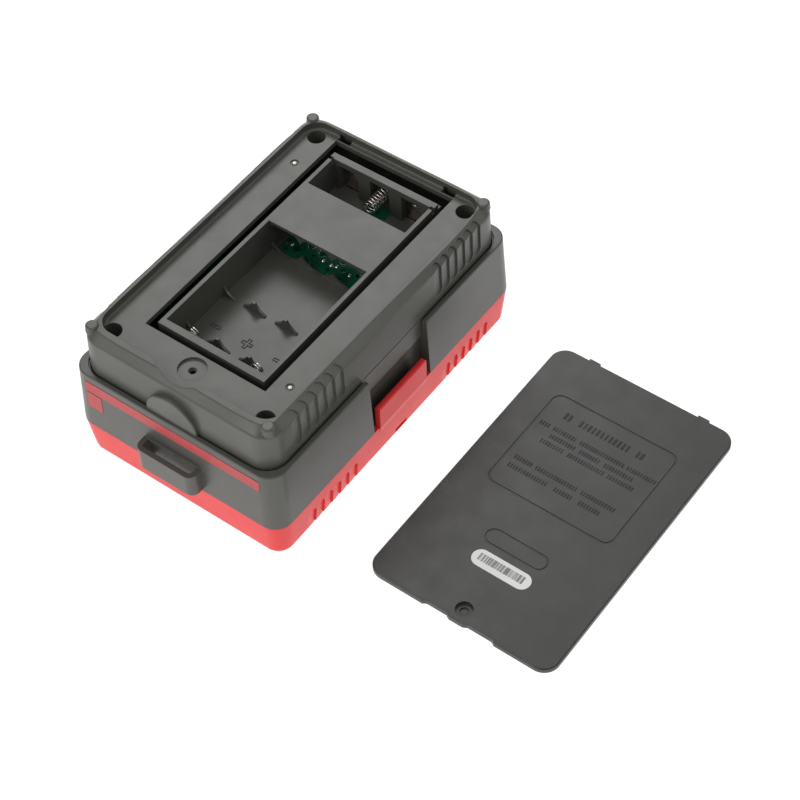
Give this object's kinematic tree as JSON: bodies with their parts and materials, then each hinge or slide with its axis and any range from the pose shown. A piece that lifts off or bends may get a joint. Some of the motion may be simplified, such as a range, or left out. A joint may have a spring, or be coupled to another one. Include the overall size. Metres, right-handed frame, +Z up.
{
  "type": "circuit breaker finder",
  "caption": "Hand-held electrical tester lying face down on its push-on cover, battery compartment open and the battery door beside it.",
  "frame": {"origin": "centre of the cover's resting face, on the surface the tester lies on", "axes": "+Z up out of the open back of the case, +Y along the case away from the door screw's end, +X across the case towards the removed battery door"},
  "size_m": [0.2198, 0.173, 0.0722],
  "materials": {
    "cover_red": "fine satin moulded finish",
    "case_grey": "fine textured moulded finish",
    "tray_grey": "fine textured moulded finish",
    "door_grey": "fine spark-eroded texture",
    "stripe_red": "satin printed ink",
    "steel": "nickel-plated spring steel",
    "brass": "turned brass",
    "solder": "solder",
    "board_green": "solder-resist green",
    "black_plastic": "moulded",
    "clear_window": "clear moulded window",
    "lcd_grey": "display glass",
    "rubber_grey": "silicone rubber",
    "knob_grey": "fine textured moulded finish",
    "white_mark": "printed or inlaid white",
    "key_grey": "moulded key cap",
    "test_red": "moulded key cap",
    "lamp_amber": "tinted lens",
    "fuse_glass": "glass tube"
  },
  "bodies": {
    "cover": {"front_cover": "cover_red"},
    "case": {"front_case": "case_grey", "end_stripe": "stripe_red", "rear_case": "case_grey", "plate_studs": "steel", "door_screw_insert": "steel", "case_screws": "steel", "battery_tray": "tray_grey", "tray_screws": "steel", "contact_spring_near_left": "steel", "contact_plate_near_middle": "steel", "contact_spring_near_right": "steel", "contact_plate_far_left": "steel", "contact_spring_far_middle": "steel", "contact_plate_far_right": "steel", "main_board": "board_green", "solder_joints": "solder", "panel_board": "board_green", "board_spacers": "brass", "board_screws": "steel", "board_header": "black_plastic", "display_window": "clear_window", "lcd_module": "lcd_grey", "lcd_connector": "rubber_grey", "keypad_mat": "rubber_grey", "rotary_switch": "black_plastic", "indicator_lamps": "lamp_amber", "input_socket_left": "brass", "input_socket_middle": "brass", "input_socket_right": "brass", "processor_chip": "black_plastic", "transformer": "black_plastic", "capacitors": "black_plastic", "buzzer": "black_plastic", "fuse": "fuse_glass", "fuse_clips": "steel"},
    "knob": {"range_knob": "knob_grey", "knob_pointer": "white_mark", "switch_shaft": "steel"},
    "test_button": {"test_button": "test_red"},
    "key_left": {"key_left": "key_grey"},
    "key_middle": {"key_middle": "key_grey"},
    "key_right": {"key_right": "key_grey"},
    "door": {"battery_door": "door_grey", "door_label": "white_mark"}
  },
  "joints": [
    {"name": "cover_release", "type": "slide", "parent": "cover", "child": "case", "axis": [0, 0, 1], "range_m": [0, 0.06]},
    {"name": "door_lift", "type": "slide", "parent": "cover", "child": "door", "axis": [0, 0, 1], "range_m": [0, 0.12]},
    {"name": "range_select", "type": "hinge", "parent": "case", "child": "knob", "pos_m": [-0.014, -0.036, 0.0165], "axis": [0, 0, -1], "range_deg": [0, 150]},
    {"name": "press_test", "type": "slide", "parent": "case", "child": "test_button", "axis": [0, 0, 1], "range_m": [0, 0.0018], "stiffness_N_per_m": 400, "springref_m": -0.001},
    {"name": "press_key_left", "type": "slide", "parent": "case", "child": "key_left", "axis": [0, 0, 1], "range_m": [0, 0.001], "stiffness_N_per_m": 300, "springref_m": -0.001},
    {"name": "press_key_middle", "type": "slide", "parent": "case", "child": "key_middle", "axis": [0, 0, 1], "range_m": [0, 0.001], "stiffness_N_per_m": 300, "springref_m": -0.001},
    {"name": "press_key_right", "type": "slide", "parent": "case", "child": "key_right", "axis": [0, 0, 1], "range_m": [0, 0.001], "stiffness_N_per_m": 300, "springref_m": -0.001}
  ]
}
